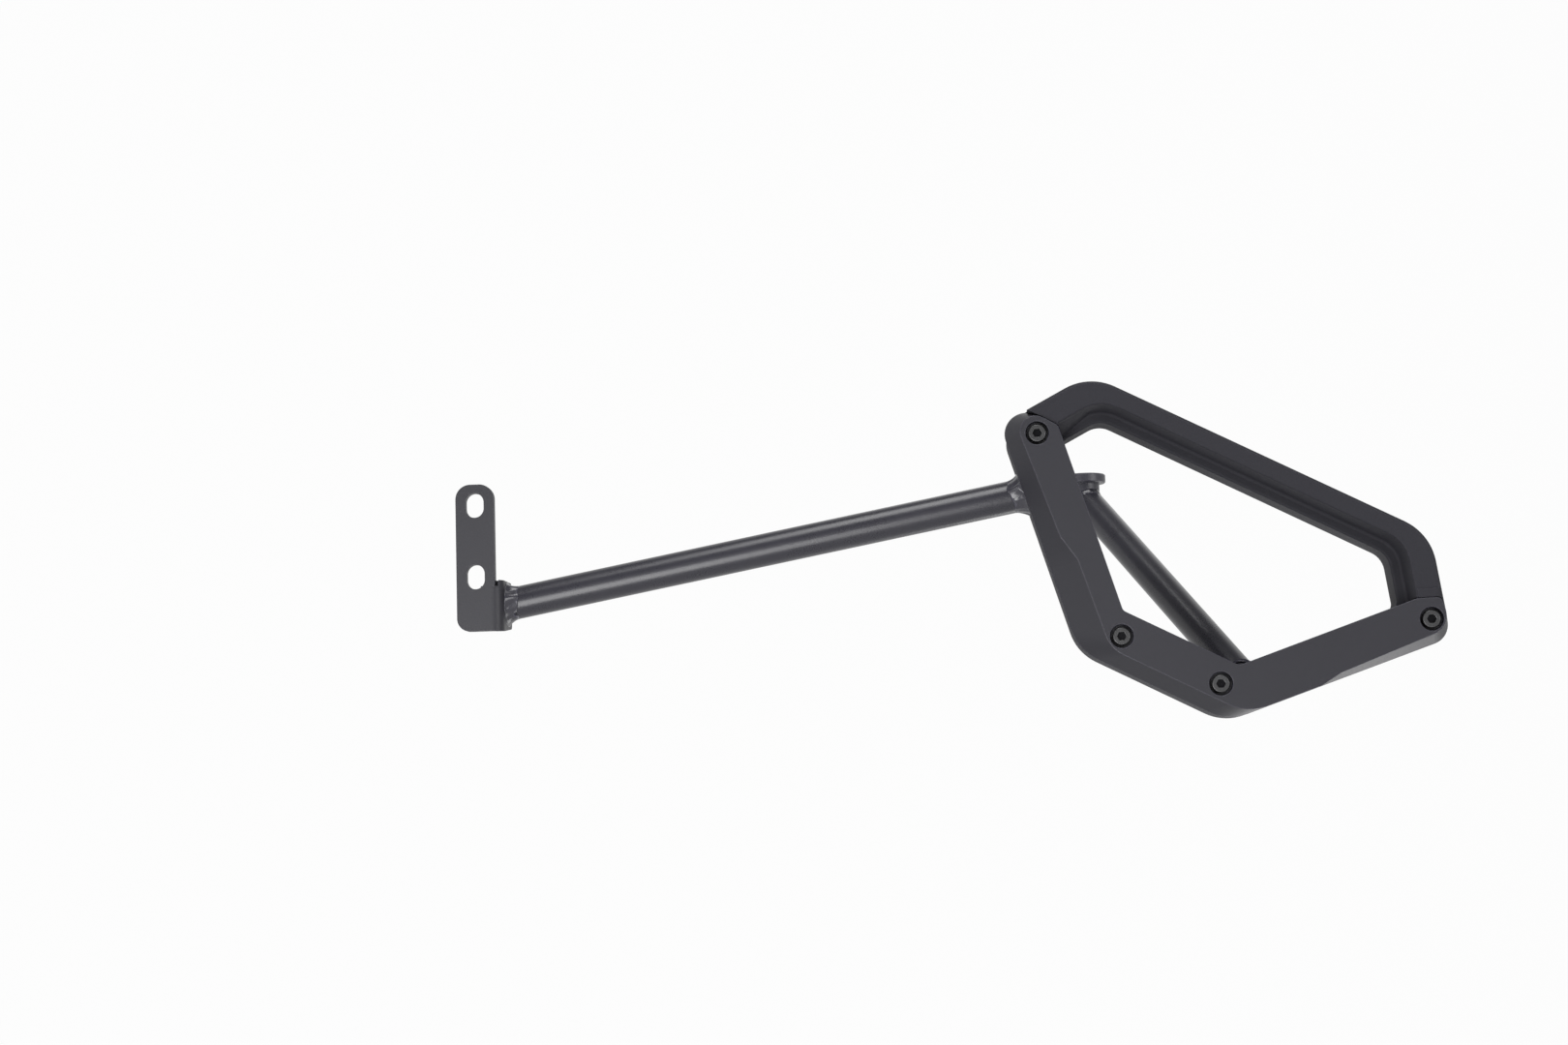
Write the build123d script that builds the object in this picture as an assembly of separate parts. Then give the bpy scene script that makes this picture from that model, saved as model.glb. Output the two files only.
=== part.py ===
from build123d import *
import math
import os

os.makedirs("parts", exist_ok=True)

# The row's own frame: X runs from the slotted plate towards the carrier ring, Y runs away from
# the front, Z is up. The origin is the centre of the two slots on the plate's rear face.
# Every size is in millimetres.

# Levels along Y, front to back
cover_face_y = -10.0
cover_skin = 3.0
cover_wall = 2.4
cover_rim_y = 1.0
land_y = -3.0
pad_y = -9.3
band_y = -8.5
ring_back_y = 24.0
ring_sheet = 2.6
lip_y = 4.5
lip_back_y = lip_y + ring_sheet
tube_y = 12.0

# Main place of the ring: a point on the cover's left inner edge. What belongs to the ring
# is placed from here.
ring_x = 295.7
ring_z = 8.3

# Direction of each inner edge in degrees, going round the opening with the opening on the left
left_angle = -73.1
slope_angle = -27.4
rise_angle = 18.9
right_angle = 98.1
top_angle = 152.4
shoulder_angle = 207.6

# A point on each of the other inner edges, from the ring's place
slope_dx = 16.0
slope_dz = -52.9
rise_dx = 90.6
rise_dz = -73.4
right_dx = 142.6
right_dz = -24.5
top_dx = 58.1
top_dz = 15.2
shoulder_dx = -18.5
shoulder_dz = 26.1
left_edge = (ring_x, ring_z, left_angle)
slope_edge = (ring_x + slope_dx, ring_z + slope_dz, slope_angle)
rise_edge = (ring_x + rise_dx, ring_z + rise_dz, rise_angle)
right_edge = (ring_x + right_dx, ring_z + right_dz, right_angle)
top_edge = (ring_x + top_dx, ring_z + top_dz, top_angle)
shoulder_edge = (ring_x + shoulder_dx, ring_z + shoulder_dz, shoulder_angle)

# Exposed part of the ring: the width of each bar, its corners and its step
right_width = 19.9
top_width = 16.3
shoulder_width = 20.6
inner_corner = 11.0
outer_corner = 26.0
small_corner = 4.0
heel_corner = 13.0
knee_corner = 24.0
knee_face_corner = 16.0
toe_corner = 11.0
band_round = 3.6
pad_reach = 4.5
step_width = 8.4
step_roll = 1.2
lip_width = 3.8
wall_bulge = 4.9
wall_bulge_rise = 0.45
wall_foot = 5.5
wall_foot_rise = 1.7
band_lead = 1.2
ramp_foot = 1.5
ramp_length = 19.0
ramp_inset = 0.9
band_under = 10.2
fence_gap = 0.4
cover_lap = 1.2
tail_zone = 24.0

# Cover outline: how far each outer edge lies from the inner edge, at the face and at the rim
facet_high = 18.2
facet_mid = 16.5
facet_low_start = 12.2
facet_low = 11.2
jog_high_drop = 12.6
jog_low_drop = 25.7
slope_face = 19.0
rise_face = 22.5
chamfer_start = 10.3
chamfer_full = 21.0
chamfer_drop = 2.5
chamfer_tail = 60.0
chamfer_tail_drop = 3.9
left_rim = 25.6
slope_rim = 25.6
rise_rim = 22.8
tail_reach_face = 7.7
tail_reach_rim = 8.5
end_draft = 1.0
head_corner_face = 7.5
head_corner_rim = 10.5
head_inner_corner = 4.5
tail_corner = 9.8
tail_top_corner = 2.2
tail_inner_corner = 9.0
inner_edge_round = 3.2
ring_inset = 0.5
seat_gap = 0.3

# The raised land inside the cover
land_inner = 3.0
land_left = 17.6
land_slope = 19.6
land_rise = 18.3
land_play = 0.4
land_knee = 18.0
land_corner = 6.5
land_wall = 1.8

# Cover screws, thread size M5: the place of each from the ring's place, from head to tail
head_screw_dx = -21.3
head_screw_dz = 33.6
knee_screw_dx = 15.0
knee_screw_dz = -65.1
heel_screw_dx = 60.6
heel_screw_dz = -89.0
tail_screw_dx = 160.1
tail_screw_dz = -61.6
head_spot = (ring_x + head_screw_dx, ring_z + head_screw_dz)
knee_spot = (ring_x + knee_screw_dx, ring_z + knee_screw_dz)
heel_spot = (ring_x + heel_screw_dx, ring_z + heel_screw_dz)
tail_spot = (ring_x + tail_screw_dx, ring_z + tail_screw_dz)
screw_spots = [head_spot, knee_spot, heel_spot, tail_spot]

# The cover's two end lines: a point on each from the ring's place, and its direction
head_end_dx = -16.7
head_end_dz = 40.1
head_end_angle = -29.4
tail_end_dx = 142.6
tail_end_dz = -52.1
tail_end_angle = 1.6
head_end = (ring_x + head_end_dx, ring_z + head_end_dz, head_end_angle)
tail_end = (ring_x + tail_end_dx, ring_z + tail_end_dz, tail_end_angle)
head_radius = 4.25
head_height = 5.0
head_chamfer = 0.4
counterbore_radius = 5.65
counterbore_depth = 5.2
hex_across = 4.0
hex_depth = 2.6
shank_radius = 2.4
shank_hole_radius = 2.75
shank_length = 12.0
boss_radius = 8.0
nut_radius = 3.5
nut_height = 4.0
nut_bore_radius = 2.5

# Tubes
tube_radius = 8.0
tube_wall = 1.5
tube_angle = 10.1
tube_start_z = -30.4

# Slotted plate
plate_thick = 4.0
plate_width = 18.8
plate_top_z = 27.8
plate_bottom_z = -44.0
plate_corner = 6.3
plate_top_corner = 7.2
slot_pitch = 35.0
slot_width = 9.0
slot_length = 12.0
tab_face_x = 13.0
tab_inner_bend = 1.5
tab_top_z = -19.2
tab_tilt = 6.0
tab_reach_y = 21.5
tab_corner = 2.5
relief_width = 1.5
relief_depth = 2.9

# Strut, its seat plate and its threaded bush
strut_foot_dx = 77.1
strut_foot_dz = -89.2
strut_foot_x = ring_x + strut_foot_dx
strut_foot_z = ring_z + strut_foot_dz
bush_dx = 5.6
bush_y = 134.5
bush_dz = 16.5
bush_x = ring_x + bush_dx
bush_z = ring_z + bush_dz
bush_radius = 8.0
bush_drop = 11.8
bush_bottom_z = bush_z - bush_drop
collar_rise = 8.3
collar_bottom_z = bush_z + collar_rise
collar_thick = 4.8
collar_radius = 11.3
bush_bore_radius = 3.4
collar_chamfer = 0.6
seat_plate_thick = 2.5
seat_plate_radius = 23.0

# Weld beads
bead_leg = 4.0
bead_length = 7.4
tab_bead_leg = 3.1
tab_bead_length = 6.2
strut_bead_leg = 2.2
strut_bead_length = 3.0
bush_bead_leg = 0.9
bush_bead_length = 2.2
bead_inset = 0.8

# Reach of the blocks that only cut: in front of the part, behind it and beyond its sides
front_clear_y = -30.0
back_clear_y = 60.0
clear_of_all = 300.0
spare = 5.0


def inward(side, distance):
    """Return the side moved towards the opening by the distance."""
    x, z, angle = side
    a = math.radians(angle)
    return (x - math.sin(a) * distance, z + math.cos(a) * distance, angle)


def outward(side, distance):
    """Return the side moved away from the opening by the distance."""
    return inward(side, -distance)


def crossing(first, second):
    """Return the point where two sides cross."""
    x1, z1, a1 = first
    x2, z2, a2 = second
    c1, s1 = math.cos(math.radians(a1)), math.sin(math.radians(a1))
    c2, s2 = math.cos(math.radians(a2)), math.sin(math.radians(a2))
    reach = ((x2 - x1) * s2 - (z2 - z1) * c2) / (c1 * s2 - s1 * c2)
    return (x1 + c1 * reach, z1 + s1 * reach)


def along(side, reach):
    """Return the point at the given reach along a side."""
    x, z, angle = side
    a = math.radians(angle)
    return (x + math.cos(a) * reach, z + math.sin(a) * reach)


def corner_arc(before, point, after, radius):
    """Return the start, middle and end of the arc that rounds one corner."""
    p = Vector(point[0], point[1])
    u = (Vector(before[0], before[1]) - p).normalized()
    v = (Vector(after[0], after[1]) - p).normalized()
    half = math.acos(max(-1.0, min(1.0, u.dot(v)))) / 2
    reach = radius / math.tan(half)
    middle = (u + v).normalized()
    centre = p + middle * (radius / math.sin(half))
    return p + u * reach, centre - middle * radius, p + v * reach


def largest(shape):
    """Return the biggest solid of a shape."""
    return max(shape.solids(), key=lambda solid: solid.volume)


def meet(first, second):
    """Return the biggest solid that two shapes share."""
    shared = first.intersect(second)
    return max(shared.solids(), key=lambda solid: solid.volume)


def rounded_chain(points, radii, y, closed=True):
    """Return a wire at level y through the points, with a radius for each corner."""
    count = len(points)
    stops = []
    for i, point in enumerate(points):
        end_point = not closed and i in (0, count - 1)
        if end_point or radii[i] == 0:
            p = Vector(point[0], point[1])
            stops.append((p, None, p))
        else:
            stops.append(corner_arc(points[i - 1], point, points[(i + 1) % count], radii[i]))
    edges = []
    for i, (start, middle, end) in enumerate(stops):
        if middle is not None:
            edges.append(ThreePointArc((start.X, y, start.Y), (middle.X, y, middle.Y), (end.X, y, end.Y)))
        if closed or i < count - 1:
            following = stops[(i + 1) % count][0]
            edges.append(Line((end.X, y, end.Y), (following.X, y, following.Y)))
    return Wire([edge for piece in edges for edge in piece.edges()])


def prism(points, radii, front_y, back_y):
    """Return the solid between two levels on one rounded outline."""
    face = Face(rounded_chain(points, radii, back_y))
    return Solid.extrude(face, Vector(0, front_y - back_y, 0))


def tapered(front_points, front_radii, front_y, back_points, back_radii, back_y):
    """Return the solid ruled between two rounded outlines."""
    front = rounded_chain(front_points, front_radii, front_y)
    back = rounded_chain(back_points, back_radii, back_y)
    return Solid.make_loft([front, back], ruled=True)


def post(x, z, radius, front_y, back_y):
    """Return a cylinder along Y."""
    plane = Plane(origin=(x, front_y, z), x_dir=(1, 0, 0), z_dir=(0, 1, 0))
    return Solid.make_cylinder(radius, back_y - front_y, plane)


def loop_sides(inset, grow_out):
    """Return the ring's inner sides, outer sides, each moved by the amounts given."""
    inner = [
        outward(left_edge, ring_inset + inset),
        outward(slope_edge, ring_inset + inset),
        outward(rise_edge, ring_inset + inset),
        outward(right_edge, inset),
        outward(top_edge, inset),
        outward(shoulder_edge, inset),
    ]
    outer = [
        outward(left_edge, left_rim + grow_out),
        outward(slope_edge, slope_rim + grow_out),
        outward(rise_edge, rise_rim + grow_out),
        outward(right_edge, right_width + grow_out),
        outward(top_edge, top_width + grow_out),
        outward(shoulder_edge, shoulder_width + grow_out),
    ]
    return inner, outer


def loop_corners(sides):
    """Return the corners of a closed loop of sides, in order."""
    return [crossing(sides[i], sides[(i + 1) % len(sides)]) for i in range(len(sides))]


def inner_radii(inset):
    """Return the radii of the opening's corners at an inset into the metal."""
    radii = [small_corner, small_corner, small_corner, inner_corner, inner_corner, small_corner]
    return [r + inset for r in radii]


def outer_radii(inset):
    """Return the radii of the outline's corners at an inset into the metal."""
    radii = [knee_corner, knee_corner, toe_corner, outer_corner, outer_corner, heel_corner]
    return [r - inset for r in radii]


def plan_corners(level, shrink, spread=0.0):
    """Return corners and radii of the cover at a level from 0 (face) to 1 (rim)."""
    def blend(face, rim):
        return face + (rim - face) * level
    grow = spread - shrink
    head_line = inward(head_end, blend(0.0, end_draft) + grow)
    tail_top = inward(tail_end, blend(0.0, end_draft) + grow)
    tail_line = (tail_spot[0], tail_spot[1], rise_angle + 90)
    tail_line = outward(tail_line, blend(tail_reach_face, tail_reach_rim) + grow)
    left_in = outward(left_edge, -grow)
    slope_in = outward(slope_edge, -grow)
    rise_in = outward(rise_edge, -grow)
    slope_out = outward(slope_edge, blend(slope_face, slope_rim) + grow)
    rise_out = outward(rise_edge, blend(rise_face, rise_rim) + grow)

    def left_point(reach, face_offset):
        return along(outward(left_edge, blend(face_offset, left_rim) + grow), reach)

    def rise_point(reach, drop):
        return along(outward(rise_edge, blend(rise_face - drop, rise_rim) + grow), reach)
    high_start = left_point(-60.0, facet_high + 1.1)
    high_end = left_point(jog_high_drop, facet_mid)
    low_start = left_point(jog_low_drop, facet_low_start)
    low_end = left_point(jog_low_drop + 60.0, facet_low)
    high_angle = math.degrees(math.atan2(high_end[1] - high_start[1], high_end[0] - high_start[0]))
    low_angle = math.degrees(math.atan2(low_end[1] - low_start[1], low_end[0] - low_start[0]))
    bend = rise_point(chamfer_full, chamfer_drop)
    last = rise_point(chamfer_tail, chamfer_tail_drop)
    last_angle = math.degrees(math.atan2(last[1] - bend[1], last[0] - bend[0]))
    points = [
        crossing((high_end[0], high_end[1], high_angle), head_line),
        high_end,
        low_start,
        crossing((low_start[0], low_start[1], low_angle), slope_out),
        crossing(slope_out, rise_out),
        rise_point(chamfer_start, 0.0),
        bend,
        crossing((bend[0], bend[1], last_angle), tail_line),
        crossing(tail_line, tail_top),
        crossing(tail_top, rise_in),
        crossing(rise_in, slope_in),
        crossing(slope_in, left_in),
        crossing(left_in, head_line),
    ]
    radii = [
        blend(head_corner_face, head_corner_rim) - shrink,
        0,
        0,
        blend(knee_face_corner, knee_corner) - shrink,
        knee_corner - shrink,
        0,
        0,
        tail_corner - shrink,
        max(tail_top_corner - shrink, 0.3),
        tail_inner_corner - shrink,
        inner_edge_round,
        inner_edge_round,
        max(head_inner_corner - shrink, 0.3),
    ]
    return points, radii


def rim_block(front_y, back_y, spread):
    """Return the cover's rim outline, spread a little, as a block."""
    points, radii = plan_corners(1.0, 0.0, spread)
    return prism(points, radii, front_y, back_y)


def land_block(inset, front_y, back_y):
    """Return the block of the land that carries the cover's bosses."""
    level = (land_y - cover_face_y) / (cover_rim_y - cover_face_y)
    back = cover_wall + land_play + inset
    tail = (tail_spot[0], tail_spot[1], rise_angle + 90)
    tail_reach = tail_reach_face + (tail_reach_rim - tail_reach_face) * level
    sides = [
        inward(head_end, end_draft * level - back),
        outward(left_edge, land_left - inset),
        outward(slope_edge, land_slope - inset),
        outward(rise_edge, land_rise - inset),
        outward(tail, tail_reach - back),
        inward(tail_end, end_draft * level - back),
        outward(rise_edge, land_inner + inset),
        outward(slope_edge, land_inner + inset),
        outward(left_edge, land_inner + inset),
    ]
    points = [crossing(sides[i], sides[(i + 1) % len(sides)]) for i in range(len(sides))]
    knee = land_knee - inset
    end = land_corner - inset
    fold = inner_edge_round + inset
    radii = [end, knee, knee, end, 0, end, fold, fold, 0]
    return prism(points, radii, front_y, back_y)


def step_cutter():
    """Return the swept cutter of the step that runs round the exposed inner edge."""
    inner, _ = loop_sides(0.0, 0.0)
    start = along(inner[5], 26.0)
    corners = [start, crossing(inner[4], inner[5]), crossing(inner[3], inner[4]), along(inner[3], -42.0)]
    path = rounded_chain(corners, [0, inner_corner, inner_corner, 0], 0.0, closed=False)
    out = Vector(math.sin(math.radians(inner[5][2])), 0, -math.cos(math.radians(inner[5][2])))
    base = Vector(start[0], 0, start[1])

    def at(n, y):
        return base + out * n + Vector(0, y, 0)
    front = pad_y - spare
    low = lip_y + step_roll
    turn = math.sqrt(0.5)
    roll_n = step_roll * (1 - turn)
    lead_n = step_width - band_lead
    lead_y = band_y + band_lead
    foot_y = lip_y - wall_foot_rise
    outline = [
        Line(at(-spare, front), at(-spare, low)),
        Line(at(-spare, low), at(0.0, low)),
        ThreePointArc(at(0.0, low), at(roll_n, lip_y + roll_n), at(step_roll, lip_y)),
        Line(at(step_roll, lip_y), at(lip_width, lip_y)),
        ThreePointArc(at(lip_width, lip_y), at(wall_bulge, lip_y - wall_bulge_rise), at(wall_foot, foot_y)),
        Line(at(wall_foot, foot_y), at(lead_n, lead_y)),
        ThreePointArc(at(lead_n, lead_y), at(step_width - band_lead * turn, band_y + roll_n), at(step_width, band_y)),
        Line(at(step_width, band_y), at(step_width, front)),
        Line(at(step_width, front), at(-spare, front)),
    ]
    profile = Face(Wire([edge for piece in outline for edge in piece.edges()]))
    return sweep(profile, path).solids()[0]


def head_fence():
    """Return the block left of the cover's head, which the step doesn't enter."""
    side = inward(left_edge, fence_gap)
    far = outward(left_edge, clear_of_all / 2)
    corners = [along(side, clear_of_all), along(side, -clear_of_all), along(far, -clear_of_all)]
    return prism(corners + [along(far, clear_of_all)], [0] * 4, front_clear_y, back_clear_y)


def below(side):
    """Return the block on the outer side of a line."""
    far = outward(side, clear_of_all)
    corners = [along(side, clear_of_all), along(side, -clear_of_all), along(far, -clear_of_all)]
    return prism(corners + [along(far, clear_of_all)], [0] * 4, front_clear_y, back_clear_y)


def shoulder_ramp():
    """Return the ramp that fills the step beside the cover's head and runs out at the bend."""
    side = shoulder_edge
    bend = crossing(top_edge, shoulder_edge)
    a = math.radians(side[2])
    way = Vector(math.cos(a), 0, math.sin(a))
    out = Vector(math.sin(a), 0, -math.cos(a))
    start = Vector(bend[0], 0, bend[1]) + way * inner_corner * 0.3

    def section(reach, foot):
        base = start + way * reach
        top = base + out * (step_width - ramp_inset) + Vector(0, band_y + band_lead, 0)
        low = base + out * foot + Vector(0, lip_y, 0)
        back = base + out * (step_width + band_lead) + Vector(0, lip_y + ramp_inset, 0)
        near = base + out * foot + Vector(0, lip_y + ramp_inset, 0)
        return Wire([e for pair in ((top, low), (low, near), (near, back), (back, top)) for e in Line(*pair).edges()])
    ramp = Solid.make_loft([section(0.0, wall_bulge), section(ramp_length, ramp_foot)], ruled=True)
    return ramp


def carrier_ring():
    """Return the closed ring: a stepped channel, open at the back."""
    _, outer = loop_sides(0.0, 0.0)
    inner, _ = loop_sides(0.0, 0.0)
    body = prism(loop_corners(outer), outer_radii(0), pad_y, ring_back_y)
    front_edges = body.edges().filter_by_position(Axis.Y, pad_y - 0.01, pad_y + 0.01)
    body = body.fillet(band_round, front_edges)
    body = body.cut(prism(loop_corners(inner), inner_radii(0), pad_y - spare, ring_back_y + spare))
    corner = (ring_x - clear_of_all / 2, pad_y - spare, ring_z - clear_of_all / 2)
    fall = Solid.make_box(clear_of_all * 2, band_y - pad_y + spare, clear_of_all, Plane(origin=corner))
    body = body.cut(fall.cut(below(inward(tail_end, pad_reach))))
    body = body.cut(step_cutter().cut(head_fence(), rim_block(front_clear_y, back_clear_y, -cover_lap)))
    body = body.fuse(shoulder_ramp())
    face_points, face_radii = plan_corners(0.0, 0.0, seat_gap)
    rim_points, rim_radii = plan_corners(1.0, 0.0, seat_gap)
    seat = tapered(face_points, face_radii, cover_face_y, rim_points, rim_radii, cover_rim_y)
    sides = rim_block(pad_y - spare, cover_rim_y, seat_gap)
    sides = meet(sides, below(inward(head_end, seat_gap)))
    tail = post(tail_spot[0], tail_spot[1], tail_zone, front_clear_y, back_clear_y)
    sides = sides.cut(tail.cut(below(inward(tail_end, seat_gap))))
    seat = seat.fuse(sides)
    seat = seat.cut(land_block(0.0, land_y, cover_rim_y + spare))
    body = body.cut(seat)
    inner_in, _ = loop_sides(ring_sheet, 0.0)
    _, outer_in = loop_sides(0.0, -ring_sheet)
    back = prism(loop_corners(outer_in), outer_radii(ring_sheet), lip_back_y, ring_back_y + spare)
    back = back.cut(prism(loop_corners(inner_in), inner_radii(ring_sheet), lip_back_y - spare, ring_back_y + spare * 2))
    body = body.cut(back)
    body = body.cut(land_block(land_wall, land_y + ring_sheet, lip_back_y + 1))
    band_in, _ = loop_sides(band_under, 0.0)
    rib = prism(loop_corners(outer_in), outer_radii(ring_sheet), band_y + ring_sheet, lip_back_y + 1)
    rib = rib.cut(prism(loop_corners(band_in), inner_radii(band_under), front_clear_y, back_clear_y))
    rib = rib.cut(rim_block(front_clear_y, back_clear_y, ring_sheet + seat_gap))
    body = body.cut(rib)
    for x, z in screw_spots:
        body = body.cut(post(x, z, shank_hole_radius, front_clear_y, back_clear_y))
    return body


def lower_cover():
    """Return the V-shaped cover: a moulded shell with a facet down its left bar."""
    face_points, face_radii = plan_corners(0.0, 0.0)
    rim_points, rim_radii = plan_corners(1.0, 0.0)
    block = tapered(face_points, face_radii, cover_face_y, rim_points, rim_radii, cover_rim_y)
    skin_level = cover_skin / (cover_rim_y - cover_face_y)
    inside_front = plan_corners(skin_level, cover_wall)
    inside_back = plan_corners(1.0, cover_wall)
    depth = cover_face_y + cover_skin
    inside = tapered(inside_front[0], inside_front[1], depth, inside_back[0], inside_back[1], cover_rim_y)
    shell = block.cut(inside)
    bosses = [post(x, z, boss_radius, depth - 0.5, land_y) for x, z in screw_spots]
    for boss in bosses:
        shell = shell.fuse(meet(boss, block))
    for x, z in screw_spots:
        shell = shell.cut(post(x, z, counterbore_radius, cover_face_y - 1, cover_face_y + counterbore_depth))
        shell = shell.cut(post(x, z, shank_hole_radius, front_clear_y, back_clear_y))
    return shell


def cover_screw(x, z):
    """Return one cap screw with a hexagon socket, its head at the front."""
    under = cover_face_y + counterbore_depth
    top = under - head_height
    head = post(x, z, head_radius, top, under)
    rim = head.edges().filter_by_position(Axis.Y, top - 0.01, top + 0.01)
    head = head.chamfer(head_chamfer, None, rim)
    plane = Plane(origin=(x, top, z), x_dir=(1, 0, 0), z_dir=(0, 1, 0))
    hexagon = plane * RegularPolygon(hex_across / 2, 6, major_radius=False)
    socket = Solid.extrude(hexagon.faces()[0], Vector(0, hex_depth, 0))
    shank = post(x, z, shank_radius, under, under + shank_length)
    return head.cut(socket).fuse(shank)


def weld_nut(x, z):
    """Return one round nut welded behind the ring's land."""
    front = land_y + ring_sheet
    nut = post(x, z, nut_radius, front, front + nut_height)
    return nut.cut(post(x, z, nut_bore_radius, front_clear_y, back_clear_y))


def slotted_plate():
    """Return the bent strip: two slots in its face, a flap folded back at its foot."""
    half = plate_width / 2
    bend_x = tab_face_x - plate_thick - tab_inner_bend
    corners = [(-half, plate_bottom_z), (half, plate_bottom_z), (half, plate_top_z), (-half, plate_top_z)]
    strip = prism(corners, [plate_corner, 0, plate_top_corner, plate_top_corner], -plate_thick, 0.0)
    for sign in (1, -1):
        z = sign * slot_pitch / 2
        r = slot_width / 2
        run = (slot_length - slot_width) / 2
        low = post(0, z - run, r, front_clear_y, spare)
        high = post(0, z + run, r, front_clear_y, spare)
        corners = [(-r, z - run), (r, z - run), (r, z + run), (-r, z + run)]
        strip = strip.cut(low, high, prism(corners, [0] * 4, front_clear_y, spare))
    foot = Solid.make_box(clear_of_all, clear_of_all, tab_top_z - relief_depth + clear_of_all / 2,
                          Plane(origin=(bend_x, -clear_of_all / 2, -clear_of_all / 2)))
    strip = strip.cut(foot)
    notch = Solid.make_box(relief_width, plate_thick + tab_inner_bend + spare, relief_depth + spare,
                           Plane(origin=(half, -plate_thick - spare, tab_top_z - relief_depth)))
    return largest(strip.fuse(folded_flap(bend_x), flat_foot(bend_x)).cut(notch))


def flat_foot(bend_x):
    """Return the strip's foot between its flat part and the bend."""
    height = tab_top_z - relief_depth - plate_bottom_z
    return Solid.make_box(spare, plate_thick, height, Plane(origin=(bend_x - spare, -plate_thick, plate_bottom_z)))


def folded_flap(bend_x):
    """Return the flap: a quarter bend and a flat end whose lower edge rises to the back."""
    height = tab_top_z - plate_bottom_z
    plane = Plane(origin=(bend_x, tab_inner_bend, plate_bottom_z))
    bend = Solid.make_cylinder(tab_inner_bend + plate_thick, height, plane)
    bend = bend.cut(Solid.make_cylinder(tab_inner_bend, height, plane))
    side = clear_of_all
    bend = bend.cut(Solid.make_box(side, side, side, Plane(origin=(bend_x - side, -side / 2, -side / 2))))
    bend = bend.cut(Solid.make_box(side, side, side, Plane(origin=(bend_x - side / 2, tab_inner_bend, -side / 2))))
    lift = math.tan(math.radians(tab_tilt)) * (tab_reach_y - tab_inner_bend)
    inner_x = tab_face_x - plate_thick
    corners = [
        (tab_inner_bend, plate_bottom_z),
        (tab_reach_y, plate_bottom_z + lift),
        (tab_reach_y, tab_top_z),
        (tab_inner_bend, tab_top_z),
    ]
    stops = [Vector(inner_x, y, z) for y, z in corners]
    lines = [Line(stops[k], stops[(k + 1) % 4]) for k in range(4)]
    flat = Solid.extrude(Face(Wire([edge for line in lines for edge in line.edges()])), Vector(plate_thick, 0, 0))
    ends = flat.edges().filter_by(Axis.X).filter_by_position(Axis.Y, tab_reach_y - 0.01, tab_reach_y + 0.01)
    return bend.fuse(flat.fillet(tab_corner, ends))


def tube_axis():
    """Return the long tube's start on the tab, its direction and its end on the ring's wall."""
    start = (tab_face_x, tube_start_z)
    wall = outward(left_edge, left_rim)
    end = crossing((start[0], start[1], tube_angle), wall)
    return start, end


def pipe(start, end, radius):
    """Return a round bar between two points."""
    run = Vector(*end) - Vector(*start)
    plane = Plane(origin=start, z_dir=run)
    return Solid.make_cylinder(radius, run.length, plane)


def long_tube():
    """Return the long tube, cut to the tab's face and to the ring's left wall."""
    start, end = tube_axis()
    a = math.radians(tube_angle)
    first = (start[0] - math.cos(a) * spare, tube_y, start[1] - math.sin(a) * spare)
    last = (end[0] + math.cos(a) * spare * 2, tube_y, end[1] + math.sin(a) * spare * 2)
    tube = pipe(first, last, tube_radius).cut(pipe(first, last, tube_radius - tube_wall))
    tube = tube.cut(tab_keepout(), wall_keepout())
    return largest(tube)


def tab_keepout():
    """Return the space on the plate's side of the tab's outer face."""
    side = clear_of_all
    return Solid.make_box(side, side, side, Plane(origin=(tab_face_x - side, -side / 2, -side / 2)))


def wall_keepout():
    """Return the space inside the ring's left outer wall."""
    wall = outward(left_edge, left_rim)
    inner = inward(wall, clear_of_all / 2)
    corners = [along(wall, -clear_of_all), along(wall, clear_of_all), along(inner, clear_of_all)]
    return prism(corners + [along(inner, -clear_of_all)], [0] * 4, front_clear_y, back_clear_y)


def bead_ring(origin, direction, inner, leg, length):
    """Return a concave fillet bead round a tube, thickest at the origin."""
    plane = Plane(origin=origin, z_dir=direction)
    back = -2.5
    points = [(inner, back), (inner + leg, back), (inner + leg, 0.4)]
    middle = (inner + leg * 0.36, length * 0.36)
    tip = (inner, length)
    lines = [Line((*points[0], 0), (*points[1], 0)), Line((*points[1], 0), (*points[2], 0))]
    lines.append(Line((*points[2], 0), (*middle, 0)))
    lines.append(Line((*middle, 0), (*tip, 0)))
    lines.append(Line((*tip, 0), (*points[0], 0)))
    face = Face(Wire([edge for piece in lines for edge in piece.edges()]))
    ring = Solid.revolve(face, 360, Axis.Y)
    turned = Plane(origin=(0, 0, 0), x_dir=(1, 0, 0), z_dir=(0, 1, 0))
    ring = ring.moved(turned.location.inverse())
    return ring.moved(plane.location)


def plate_bead():
    """Return the bead between the tab and the long tube."""
    start, _ = tube_axis()
    a = math.radians(tube_angle)
    run = (math.cos(a), 0, math.sin(a))
    bead = bead_ring((start[0], tube_y, start[1]), run, tube_radius, tab_bead_leg, tab_bead_length)
    bead = bead.cut(tab_keepout())
    return largest(bead)


def ring_bead():
    """Return the bead between the long tube and the ring's wall."""
    _, end = tube_axis()
    a = math.radians(tube_angle)
    run = (-math.cos(a), 0, -math.sin(a))
    bead = bead_ring((end[0], tube_y, end[1]), run, tube_radius, bead_leg, bead_length)
    side = clear_of_all
    front = Solid.make_box(side, side, side, Plane(origin=(end[0] - side / 2, cover_rim_y + seat_gap - side, -side / 2)))
    bead = bead.cut(wall_keepout(), front)
    return largest(bead)


def strut_axis():
    """Return the strut's foot on the ring's back and its meeting point with the bush."""
    foot = Vector(strut_foot_x, ring_back_y, strut_foot_z)
    top = Vector(bush_x, bush_y, bush_z)
    return foot, top


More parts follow.
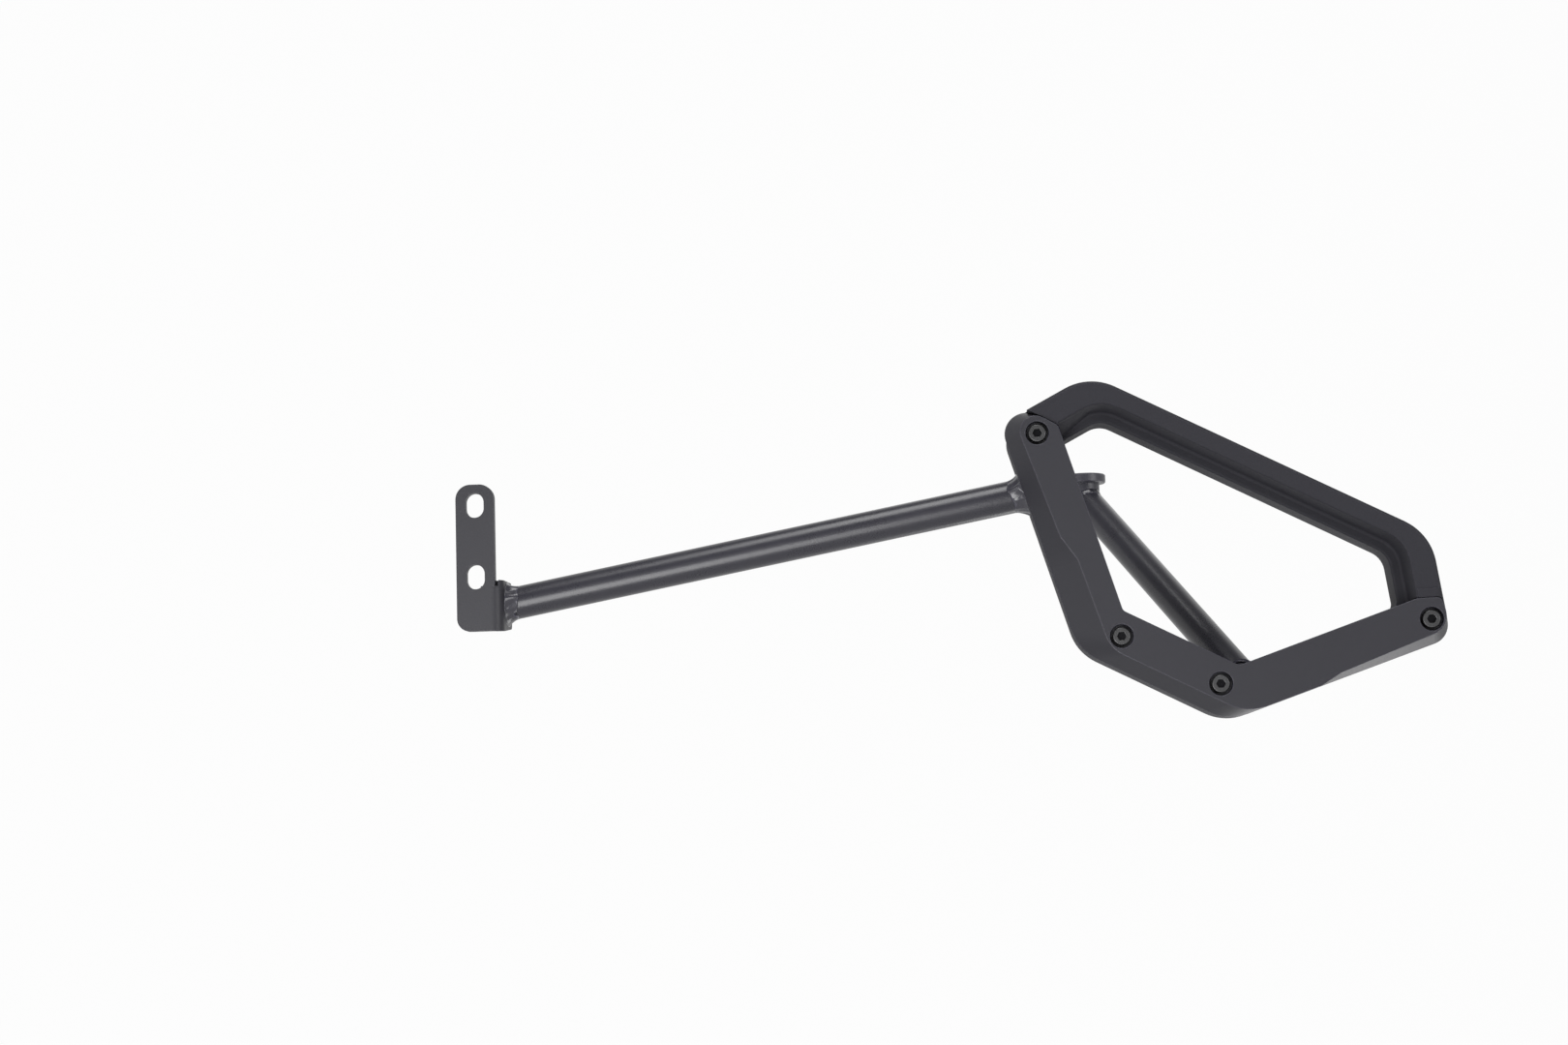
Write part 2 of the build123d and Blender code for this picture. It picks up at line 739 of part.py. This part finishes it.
def strut_bush():
    """Return the threaded bush with its collar, which is bolted to the machine."""
    plane = Plane(origin=(bush_x, bush_y, bush_bottom_z))
    body = Solid.make_cylinder(bush_radius, collar_bottom_z - bush_bottom_z, plane)
    collar = Solid.make_cylinder(collar_radius, collar_thick, Plane(origin=(bush_x, bush_y, collar_bottom_z)))
    rims = collar.edges().filter_by(GeomType.CIRCLE)
    collar = collar.chamfer(collar_chamfer, None, rims)
    below = Plane(origin=(bush_x, bush_y, bush_bottom_z - spare))
    bore = Solid.make_cylinder(bush_bore_radius, clear_of_all, below)
    return body.fuse(collar).cut(bore)


def strut_tube():
    """Return the strut, cut to the ring's back and coped round the bush."""
    foot, top = strut_axis()
    run = (top - foot).normalized()
    first = foot - run * tube_radius * 3
    tube = pipe(tuple(first), tuple(top), tube_radius)
    tube = tube.cut(pipe(tuple(first), tuple(top + run * spare), tube_radius - tube_wall))
    side = clear_of_all
    front = Solid.make_box(side, side, side, Plane(origin=(foot.X - side / 2, ring_back_y - side, foot.Z - side / 2)))
    bush = Solid.make_cylinder(bush_radius, side, Plane(origin=(bush_x, bush_y, bush_z - side / 2)))
    tube = tube.cut(front, bush)
    return largest(tube)


def seat_plate():
    """Return the plate that closes the channel behind the ring's lower corner."""
    inner_in, _ = loop_sides(ring_sheet, 0.0)
    _, outer_in = loop_sides(0.0, -ring_sheet)
    front = ring_back_y - seat_plate_thick
    plate = prism(loop_corners(outer_in), outer_radii(ring_sheet), front, ring_back_y)
    plate = plate.cut(prism(loop_corners(inner_in), inner_radii(ring_sheet), front - spare, ring_back_y + spare))
    disc = post(strut_foot_x, strut_foot_z, seat_plate_radius, front - spare, ring_back_y + spare)
    return meet(plate, disc)


def foot_bead():
    """Return the bead round the strut's foot."""
    foot, top = strut_axis()
    run = (top - foot).normalized()
    first = foot - run * tube_radius * 3
    tube = pipe(tuple(first), tuple(top), tube_radius)
    sleeve = pipe(tuple(first), tuple(top), tube_radius + strut_bead_leg)
    inner, outer = loop_sides(bead_inset, -bead_inset)
    top_y = ring_back_y + strut_bead_length
    ring = prism(loop_corners(outer), outer_radii(bead_inset), ring_back_y, top_y)
    ring = ring.cut(prism(loop_corners(inner), inner_radii(bead_inset), front_clear_y, back_clear_y))
    return meet(sleeve.cut(tube), ring)


def bush_bead():
    """Return the bead between the strut's top and the bush."""
    foot, top = strut_axis()
    run = (top - foot).normalized()
    tube = pipe(tuple(foot), tuple(top), tube_radius)
    sleeve = pipe(tuple(foot), tuple(top), tube_radius + bush_bead_leg)
    side = clear_of_all
    middle = Plane(origin=(bush_x, bush_y, bush_z - side / 2))
    skin = Solid.make_cylinder(bush_radius + bush_bead_length, side, middle)
    bush = Solid.make_cylinder(bush_radius, side, middle)
    corner = Plane(origin=(bush_x - side / 2, bush_y - side / 2, bush_bottom_z))
    band = Solid.make_box(side, side, collar_bottom_z - bush_bottom_z, corner)
    bead = meet(sleeve.cut(tube), skin).cut(bush)
    return meet(bead, band)


nodes = {
    "carrier_ring": carrier_ring(),
    "lower_cover": lower_cover(),
    "long_tube": long_tube(),
    "slotted_plate": slotted_plate(),
    "plate_weld": plate_bead(),
    "ring_weld": ring_bead(),
    "strut_tube": strut_tube(),
    "strut_bush": strut_bush(),
    "seat_plate": seat_plate(),
    "foot_weld": foot_bead(),
    "bush_weld": bush_bead(),
}
for number, (spot_x, spot_z) in enumerate(screw_spots, start=1):
    nodes[f"cover_screw_{number}"] = cover_screw(spot_x, spot_z)
    nodes[f"weld_nut_{number}"] = weld_nut(spot_x, spot_z)

for name, shape in nodes.items():
    solids = shape.solids()
    print(name, len(solids), round(sum(s.volume for s in solids), 1), all(s.is_valid for s in solids))
    export_step(largest(shape), f"parts/{name}.step")
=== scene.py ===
import math

import bpy
import numpy as np
from mathutils import Matrix


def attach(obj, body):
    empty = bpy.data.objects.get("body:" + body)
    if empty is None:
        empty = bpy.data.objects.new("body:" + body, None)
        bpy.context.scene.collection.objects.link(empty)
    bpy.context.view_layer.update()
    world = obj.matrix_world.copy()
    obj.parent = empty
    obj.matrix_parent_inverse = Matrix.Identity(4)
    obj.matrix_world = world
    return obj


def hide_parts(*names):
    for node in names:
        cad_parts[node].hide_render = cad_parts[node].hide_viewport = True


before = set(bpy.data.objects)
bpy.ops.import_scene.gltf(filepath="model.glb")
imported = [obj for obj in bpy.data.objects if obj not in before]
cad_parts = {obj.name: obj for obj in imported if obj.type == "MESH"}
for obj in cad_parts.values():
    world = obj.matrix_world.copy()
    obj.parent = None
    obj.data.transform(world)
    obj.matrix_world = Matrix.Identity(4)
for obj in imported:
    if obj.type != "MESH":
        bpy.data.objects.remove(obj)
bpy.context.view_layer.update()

# The photograph's view: the picture is 1620 by 1080, and the lens is given in its pixels.
# The angles are in degrees.
PICTURE_WIDTH = 1620
LENS_PIXELS = 2750.0
SENSOR_WIDTH = 36.0
VIEW_TURN = 4.3
VIEW_TILT = -6.0
VIEW_ROLL = -1.6
EYE = (0.2471, -1.2795, -0.1307)
FAR_CLIP = 50.0

# Sizes that the weld beads share with the CAD, in metres
TUBE_RADIUS = 0.008
TUBE_ANGLE = math.radians(10.1)
TUBE_START = (0.013, 0.012, -0.0304)
TUBE_END = (0.2675, 0.012, 0.0149)
WALL_ANGLE = math.radians(-73.1)
STRUT_FOOT = (0.3728, 0.024, -0.0809)
STRUT_TOP = (0.3013, 0.1345, 0.0248)
BUSH_RADIUS = 0.008
COVER_RIM = (0.0, 0.0013, 0.0)
SLOPE_ANGLE = math.radians(-27.4)
RISE_ANGLE = math.radians(18.9)
SLOPE_OUT = (0.3002, 0.024, -0.0662)
RISE_OUT = (0.3934, 0.024, -0.0857)

# How finely a weld bead is drawn: from wall to tube, round a tube, and round the bush's bead
BEAD_STEPS = 22
ROUND_STEPS = 288
BUSH_STEPS = 240
TIGHTEST_SPREAD = 0.25

# Painted shade on a screw: its colour darkens between these two levels along Y, just under the
# cover's face
SCREW_SHADE_LEVELS = (-0.0093, -0.0088)

# The black finishes' cast, and the size of each finish's grains in metres
TINT = (0.95, 0.92, 1.24)
COAT_CLOUD = 0.018
FLOW_MARK = 0.035
MOULD_GRAIN = 0.00055
MOULD_SHINE = 0.32
TURNED_MARK = 0.0007
ZINC_BLOOM = 0.004

# How far rounded and true normals agree where an edge starts, and where it counts in full
EDGE_STARTS = 0.995
EDGE_FULL = 0.95

# The studio: its lengths are in metres
FLOOR_LEVEL = -0.95
FLOOR_HALF = 15.0
WALL_START = 1.6
WALL_BEND = 0.8
WALL_HEIGHT = 6.0
WHITE_SHARE = 0.97
PAPER_SHADE = 0.75
AIR_STRENGTH = 0.34
PART_MIDDLE = (0.27, 0.0, -0.02)


class Wire:
    """A socket of a material. Sums on it add Math nodes."""

    def __init__(self, sheet, socket):
        self.sheet = sheet
        self.socket = socket

    def maths(self, operation, *others, flip=False):
        terms = [self, *others]
        if flip:
            terms.reverse()
        return self.sheet.node("Math", {"operation": operation}, dict(enumerate(terms)))

    def __add__(self, other):
        return self.maths("ADD", other)

    def __sub__(self, other):
        return self.maths("SUBTRACT", other)

    def __rsub__(self, other):
        return self.maths("SUBTRACT", other, flip=True)

    def __mul__(self, other):
        return self.maths("MULTIPLY", other)

    __radd__ = __add__
    __rmul__ = __mul__


class Finish:
    """One procedural material, built node by node on Object coordinates."""

    def __init__(self, name):
        self.material = bpy.data.materials.new(name)
        self.material.use_nodes = True
        self.tree = self.material.node_tree
        self.tree.nodes.clear()
        self.place = self.node("TexCoord", {}, {}, "Object")

    def node(self, kind, settings, values, out=0):
        """Add a node: its settings first, then its sockets' values or links."""
        made = self.tree.nodes.new("ShaderNode" + kind)
        for key, value in settings.items():
            setattr(made, key, value)
        for key, value in values.items():
            if isinstance(value, Wire):
                self.tree.links.new(value.socket, made.inputs[key])
            else:
                made.inputs[key].default_value = value
        return Wire(self, made.outputs[out])

    def grain(self, size, detail, roughness=0.55):
        """Return noise whose lumps are about the size given, in metres."""
        values = {"Vector": self.place, "Scale": 1.0 / size, "Detail": detail}
        return self.node("TexNoise", {}, {**values, "Roughness": roughness})

    def blend(self, mask, first, second):
        """Return the colour that runs from the first to the second by a mask."""
        ends = [end if isinstance(end, Wire) else (*end, 1.0) for end in (first, second)]
        return self.node("Mix", {"data_type": "RGBA"}, {0: mask, 6: ends[0], 7: ends[1]}, 2)

    def ramp(self, value, start, stop):
        """Return 0 up to the start and 1 from the stop, and a straight run between them."""
        return self.node("MapRange", {}, {0: value, 1: start, 2: stop, 3: 0.0, 4: 1.0})

    def soft_edges(self, radius):
        """Return normals with the edges rounded by a radius."""
        return self.node("Bevel", {"samples": 6}, {"Radius": radius})

    def edge_mask(self, rounded):
        """Return 1 at an edge and 0 on flat skin, by how far rounded and true normals part."""
        true = self.node("NewGeometry", {}, {}, "True Normal")
        product = {"operation": "DOT_PRODUCT"}
        agree = self.node("VectorMath", product, {0: rounded, 1: true}, "Value")
        return self.ramp(agree, EDGE_STARTS, EDGE_FULL)

    def relief(self, height, strength, depth, rounded):
        """Return normals that a height field lifts from the rounded ones."""
        values = {"Strength": strength, "Distance": depth, "Height": height, "Normal": rounded}
        return self.node("Bump", {}, values)

    def close(self, shader):
        """Join a surface shader to the output, and return the material."""
        output = self.tree.nodes.new("ShaderNodeOutputMaterial")
        self.tree.links.new(shader.socket, output.inputs["Surface"])
        return self.material


def shades(shade, *shares):
    """Return the black finishes' colour at each share of a shade."""
    return [tuple(shade * share * cast for cast in TINT) for share in shares]


def powder_coat(name, shade, roughness, grain_size, depth, edge, shine=0.5):
    """Black powder coat.

    Pebbles of one grain size and finer specks, both fractal noise, make the relief. Slow clouds
    of noise vary colour and gloss, and edges, found where the rounded normal leaves the true
    one, get a painted highlight: their colour is painted paler, and they are made a little
    smoother.
    """
    finish = Finish(name)
    pebble = finish.grain(grain_size, 2.0)
    cloud = finish.grain(COAT_CLOUD, 4.0, 0.6)
    speck = finish.grain(grain_size * 0.45, 1.0)
    rounded = finish.soft_edges(edge)
    # Painted highlight: this edge mask paints the edges paler and makes them smoother
    edge_highlight = finish.edge_mask(rounded) * (0.45 + 0.9 * cloud)
    dark, pale, coat_edge_highlight = shades(shade, 0.80, 1.22, 2.1)
    colour = finish.blend(edge_highlight, finish.blend(cloud * 0.6 + pebble * 0.4, dark, pale), coat_edge_highlight)
    gloss = roughness + (cloud - 0.5) * 0.12 + (speck - 0.5) * 0.10 - edge_highlight * 0.05
    normal = finish.relief(pebble * 0.75 + speck * 0.25, 0.6, depth, rounded)
    values = {"Base Color": colour, "Roughness": gloss, "Normal": normal}
    values["Specular IOR Level"] = shine
    return finish.close(finish.node("BsdfPrincipled", {}, values))


def moulded_shell(name, shade, roughness):
    """Moulded cover.

    A matt skin with an eroded grain: fine fractal noise in the relief and the gloss. Clouds a few
    centimetres wide are the plastic's flow marks, and the rounded edges get a painted highlight
    that makes them paler.
    """
    finish = Finish(name)
    grain = finish.grain(MOULD_GRAIN, 2.0, 0.6)
    cloud = finish.grain(FLOW_MARK, 3.0, 0.5)
    rounded = finish.soft_edges(0.0007)
    # Painted highlight: this edge mask paints the rounded edges paler
    edge_highlight = finish.edge_mask(rounded) * (0.5 + 0.8 * cloud)
    dark, pale, shell_edge_highlight = shades(shade, 0.92, 1.08, 3.0)
    colour = finish.blend(edge_highlight, finish.blend(cloud * 0.8 + grain * 0.2, dark, pale), shell_edge_highlight)
    gloss = roughness + (grain - 0.5) * 0.12 + (cloud - 0.5) * 0.06 - edge_highlight * 0.08
    normal = finish.relief(grain, 0.45, 0.00006, rounded)
    values = {"Base Color": colour, "Roughness": gloss, "Normal": normal}
    values["Specular IOR Level"] = MOULD_SHINE
    return finish.close(finish.node("BsdfPrincipled", {}, values))


def bare_zinc(name, shade, metal, roughness, shade_depths=None):
    """Zinc-plated fastener: turned marks in the relief, and a mottled bloom of noise in colour.

    Edges, found where the rounded normal leaves the true one, get a painted highlight. With
    depths given, painted shade darkens the colour between the first and second level from front
    to back, so that the socket and the sides of a head are darker than its face.
    """
    def steel(share, blue):
        return (shade * share, shade * share, shade * blue)
    finish = Finish(name)
    mark = finish.grain(TURNED_MARK, 4.0, 0.7)
    bloom = finish.grain(ZINC_BLOOM, 3.0, 0.5)
    rounded = finish.soft_edges(0.0003)
    edge_highlight = finish.edge_mask(rounded)
    mottled = finish.blend(bloom, steel(0.8, 0.8), steel(1.2, 1.25))
    # Painted highlight: the head's edges are painted paler
    colour = finish.blend(edge_highlight * 0.6, mottled, steel(1.9, 1.95))
    if shade_depths:
        level = finish.node("SeparateXYZ", {}, {0: finish.place}, 1)
        # Painted shade: the colour darkens with depth along Y, so the socket and the head's sides
        # look shaded
        colour = finish.blend(finish.ramp(level, *shade_depths), colour, steel(0.12, 0.14))
    gloss = roughness + (mark - 0.5) * 0.16
    normal = finish.relief(mark, 0.4, 0.00004, rounded)
    values = {"Base Color": colour, "Roughness": gloss, "Metallic": metal, "Normal": normal}
    return finish.close(finish.node("BsdfPrincipled", {}, values))


def dress(finish, *nodes):
    """Give CAD nodes their finish."""
    for node in nodes:
        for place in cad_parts[node].material_slots:
            place.material = finish


def set_down(name, data):
    """Return a new object in the scene for a mesh, lamp or camera."""
    thing = bpy.data.objects.new(name, data)
    bpy.context.collection.objects.link(thing)
    return thing


def new_mesh(name, points, faces, material):
    """Return a smooth-shaded mesh with one material."""
    mesh = bpy.data.meshes.new(name)
    mesh.from_pydata(points.reshape(-1, 3).tolist(), [], faces)
    mesh.materials.append(material)
    mesh.shade_smooth()
    return mesh


def sheet_piece(name, grid, material):
    """Return an object from a grid of points that closes on itself both ways."""
    rows, columns = grid.shape[:2]
    i, j = np.meshgrid(np.arange(rows), np.arange(columns), indexing="ij")
    here, ahead, beside = i * columns, (i + 1) % rows * columns, (j + 1) % columns
    faces = np.stack([here + j, ahead + j, ahead + beside, here + beside], axis=-1)
    return set_down(name, new_mesh(name, grid, faces.reshape(-1, 4).tolist(), material))


def unit(vector):
    """Return a vector at length one."""
    return vector / np.linalg.norm(vector)


def outward(angle):
    """Return the direction out of the loop across a side that runs at an angle."""
    return np.array([math.sin(angle), 0.0, -math.cos(angle)])


def tube_spokes(run, steps):
    """Return the angles round a tube, and the unit direction out from its axis at each."""
    side = unit(np.cross(run, (0.0, 0.0, 1.0)))
    rise = np.cross(side, run)
    around = np.linspace(0.0, 2 * math.pi, steps, endpoint=False)[:, None]
    return around, np.cos(around) * side + np.sin(around) * rise


def bead_skin(corner, wall_way, run, around, sizes, ripples, seed):
    """Return the grid of a fillet bead that hangs in the corner between a wall and a tube.

    The skin goes from the wall at leg times (1 - sin t) to the tube at length times (1 - cos t),
    for t from 0 to a quarter turn. It is lifted by overlapping scales, a rectified sine of the
    angle round the tube that leans back with t, and by a slow swell of three sines.
    """
    leg, length = sizes
    rng = np.random.default_rng(seed)
    t = np.linspace(0.0, math.pi / 2, BEAD_STEPS)[None, :]
    phase = rng.uniform(0, 2 * math.pi, 4)
    waves = ((0.5, 2, phase[0]), (0.35, 5, phase[1]), (0.3, 9, phase[2]))
    swell = sum(tall * np.sin(count * around + start) for tall, count, start in waves)
    lean = ripples * around / 2 + 0.9 * np.cos(t) + 0.35 * np.sin(3 * around + phase[3])
    scale = np.abs(np.sin(lean)) * (0.8 + 0.35 * np.sin(3 * around + phase[1]))
    lift = np.sin(2 * t) ** 0.7 * (length * 0.10 * scale + length * 0.06 * swell)
    up_wall = leg * (1 - np.sin(t)) * (1 + 0.10 * swell) + lift
    up_tube = length * (1 - np.cos(t)) * (1 + 0.12 * swell) + lift
    skin = corner[:, None, :] + up_wall[..., None] * wall_way[:, None, :] + up_tube[..., None] * run
    return np.concatenate([skin, corner[:, None, :]], axis=1)


def weld_bead(name, end, run, wall_normal, sizes, ripples, seed, limits=()):
    """A fillet weld round a tube that meets a flat wall: the corner is the tube's oblique cut.

    A limit is a point and a direction. What lies past the point that way is pushed back to it.
    """
    run, flat = unit(np.array(run)), unit(np.array(wall_normal))
    around, spoke = tube_spokes(run, ROUND_STEPS)
    slide = -(spoke @ flat) * TUBE_RADIUS / (run @ flat)
    corner = np.array(end) + spoke * TUBE_RADIUS + slide[:, None] * run
    wall_way = spoke - (spoke @ flat)[:, None] * flat
    wall_way = wall_way / np.linalg.norm(wall_way, axis=1)[:, None]
    grid = bead_skin(corner, wall_way, run, around, sizes, ripples, seed)
    for point, way in limits:
        past = np.maximum((grid - np.array(point)) @ np.array(way), 0.0)
        grid = grid - past[..., None] * np.array(way)
    return sheet_piece(name, grid, weld_skin)


def collar_bead(name, run, sizes, ripples, seed):
    """A fillet weld where the strut meets the upright bush.

    The corner is where the strut's cylinder meets the bush's: each straight line along the strut
    is followed down from the bush's axis until it is one bush radius away from that axis.
    """
    run = unit(np.array(run))
    around, spoke = tube_spokes(run, BUSH_STEPS)
    start = spoke * TUBE_RADIUS
    a = run[0] ** 2 + run[1] ** 2
    b = start[:, 0] * run[0] + start[:, 1] * run[1]
    c = start[:, 0] ** 2 + start[:, 1] ** 2 - BUSH_RADIUS ** 2
    reach = (-b + np.sqrt(np.maximum(b * b - a * c, 0.0))) / a
    local = start + reach[:, None] * run
    flat = local * (1.0, 1.0, 0.0)
    flat = flat / np.linalg.norm(flat, axis=1)[:, None]
    wall_way = spoke - np.sum(spoke * flat, axis=1)[:, None] * flat
    spread = np.maximum(np.linalg.norm(wall_way, axis=1), TIGHTEST_SPREAD)
    corner = local + np.array(STRUT_TOP)
    grid = bead_skin(corner, wall_way / spread[:, None], run, around, sizes, ripples, seed)
    return sheet_piece(name, grid, weld_skin)


def turned(axis, degrees):
    """Return the matrix of a turn about one axis."""
    return np.array(Matrix.Rotation(math.radians(degrees), 3, axis))


def set_axes(thing, right, up, back, place):
    """Put a lamp or camera at a place, with its three axes given."""
    matrix = np.eye(4)
    matrix[:3, 0], matrix[:3, 1], matrix[:3, 2], matrix[:3, 3] = right, up, back, place
    thing.matrix_world = Matrix(matrix.tolist())


def place_camera():
    """Set the camera at the photograph's eye, its axes from turn, tilt and roll in that order."""
    straight = np.array([[1, 0, 0], [0, 0, -1], [0, 1, 0]], float)
    axes = turned("Z", VIEW_ROLL) @ turned("X", VIEW_TILT) @ turned("Y", VIEW_TURN) @ straight
    data = bpy.data.cameras.new("photo_view")
    data.sensor_width = SENSOR_WIDTH
    data.lens = LENS_PIXELS / PICTURE_WIDTH * SENSOR_WIDTH
    data.clip_end = FAR_CLIP
    camera = set_down("photo_view", data)
    set_axes(camera, axes[0], -axes[1], -axes[2], EYE)
    bpy.context.scene.camera = camera


def backdrop_finish():
    """White studio paper: plain white to the camera, in gloss and through glass, else as paper."""
    finish = Finish("studio_paper")
    seen = finish.node("LightPath", {}, {}, "Is Camera Ray")
    for other in ("Is Glossy Ray", "Is Transmission Ray"):
        seen = seen.maths("MAXIMUM", finish.node("LightPath", {}, {}, other))
    paper = finish.node("BsdfDiffuse", {}, {"Color": (PAPER_SHADE, PAPER_SHADE, PAPER_SHADE, 1.0)})
    white = finish.node("Emission", {}, {"Color": (1.0, 1.0, 1.0, 1.0), "Strength": 1.0})
    return finish.close(finish.node("MixShader", {}, {0: seen * WHITE_SHARE, 1: paper, 2: white}))


def backdrop():
    """A room without a lid, whose floor bends up behind the part in a quarter circle.

    One profile, from the front wall down and along the floor to the bend and up, is drawn from
    side to side, and a flat wall closes each side.
    """
    turn = np.linspace(0.0, math.pi / 2, 25)
    bend_y = WALL_START + WALL_BEND * np.sin(turn)
    bend_z = WALL_BEND - WALL_BEND * np.cos(turn)
    y = np.concatenate([[-FLOOR_HALF, -FLOOR_HALF], bend_y, [WALL_START + WALL_BEND]])
    z = np.concatenate([[WALL_HEIGHT, 0.0], bend_z, [WALL_HEIGHT]]) + FLOOR_LEVEL
    x = np.array([-FLOOR_HALF, FLOOR_HALF])
    points = np.stack(np.broadcast_arrays(x[None, :], y[:, None], z[:, None]), axis=-1)
    faces = [(2 * i, 2 * i + 1, 2 * i + 3, 2 * i + 2) for i in range(len(y) - 1)]
    faces += [tuple(range(0, 2 * len(y), 2)), tuple(range(1, 2 * len(y), 2))]
    set_down("studio_floor", new_mesh("studio_floor", points, faces, backdrop_finish()))


def soft_lamp(name, place, target, size, power):
    """Add a rectangular soft box at a place, facing a target."""
    data = bpy.data.lights.new(name, "AREA")
    data.shape = "RECTANGLE"
    data.size, data.size_y = size
    data.energy = power
    back = unit(np.array(place, float) - np.array(target, float))
    right = unit(np.cross((0.0, 0.0, 1.0), back))
    set_axes(set_down(name, data), right, np.cross(back, right), back, place)


def studio():
    """Dim air all round, and six soft boxes that face the part."""
    world = bpy.data.worlds.new("studio_air")
    bpy.context.scene.world = world
    world.use_nodes = True
    air = world.node_tree.nodes["Background"]
    air.inputs["Color"].default_value = (1.0, 1.0, 1.0, 1.0)
    air.inputs["Strength"].default_value = AIR_STRENGTH
    soft_lamp("low_front_box", (-0.15, -1.2, -0.5), PART_MIDDLE, (0.8, 0.8), 17.0)
    soft_lamp("top_box", (0.2, -0.5, 1.1), PART_MIDDLE, (0.8, 0.7), 13.0)
    soft_lamp("left_strip", (-0.85, -0.55, -0.16), PART_MIDDLE, (0.25, 0.9), 2.2)
    soft_lamp("right_box", (1.5, -1.0, 0.1), PART_MIDDLE, (0.7, 0.7), 9.0)
    soft_lamp("back_box", (0.5, 1.7, 1.1), PART_MIDDLE, (1.2, 0.8), 2.0)
    soft_lamp("low_right_box", (0.65, 0.6, -0.65), (0.29, 0.0, 0.05), (0.5, 0.5), 2.4)


# Finishes: the coats by shade, roughness, grain size, depth of relief, edge and shine
ring_skin = powder_coat("ring_powder_coat", 0.014, 0.76, 0.0011, 0.00012, 0.0004, 0.30)
tube_skin = powder_coat("tube_powder_coat", 0.020, 0.29, 0.0012, 0.00005, 0.0004, 0.42)
plate_skin = powder_coat("plate_powder_coat", 0.014, 0.48, 0.0010, 0.00008, 0.0005, 0.40)
weld_skin = powder_coat("weld_powder_coat", 0.026, 0.25, 0.0014, 0.00005, 0.0003)
bush_skin = powder_coat("bush_powder_coat", 0.034, 0.40, 0.0011, 0.00008, 0.0003)
cover_skin = moulded_shell("moulded_cover", 0.015, 0.50)
screw_skin = bare_zinc("black_zinc_screw", 0.055, 0.9, 0.36, SCREW_SHADE_LEVELS)
nut_skin = bare_zinc("plain_zinc_nut", 0.42, 1.0, 0.38)

dress(ring_skin, "carrier_ring")
dress(cover_skin, "lower_cover")
dress(tube_skin, "long_tube", "strut_tube")
dress(plate_skin, "slotted_plate", "seat_plate")
dress(bush_skin, "strut_bush")
for number in range(1, 5):
    dress(screw_skin, f"cover_screw_{number}")
    dress(nut_skin, f"weld_nut_{number}")

# Rippled weld seams stand for the CAD's smooth beads
tube_run = np.array([math.cos(TUBE_ANGLE), 0.0, math.sin(TUBE_ANGLE)])
strut_run = np.array(STRUT_TOP) - np.array(STRUT_FOOT)
under_cover = ((COVER_RIM, (0.0, -1.0, 0.0)),)
inside_loop = ((SLOPE_OUT, outward(SLOPE_ANGLE)), (RISE_OUT, outward(RISE_ANGLE)))
seams = {
    "plate_weld": weld_bead(
        "plate_weld_seam", TUBE_START, tube_run, (1.0, 0.0, 0.0), (0.0031, 0.0060), 7, 3),
    "ring_weld": weld_bead(
        "ring_weld_seam", TUBE_END, -tube_run, outward(WALL_ANGLE), (0.0038, 0.0069), 9, 8,
        under_cover),
    "foot_weld": weld_bead(
        "foot_weld_seam", STRUT_FOOT, strut_run, (0.0, 1.0, 0.0), (0.0020, 0.0028), 12, 5,
        inside_loop),
    "bush_weld": collar_bead("bush_weld_seam", -strut_run, (0.0012, 0.0020), 10, 6),
}
for node, seam in seams.items():
    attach(seam, "root")
    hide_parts(node)

place_camera()
backdrop()
studio()
bpy.context.scene.view_settings.view_transform = "Standard"
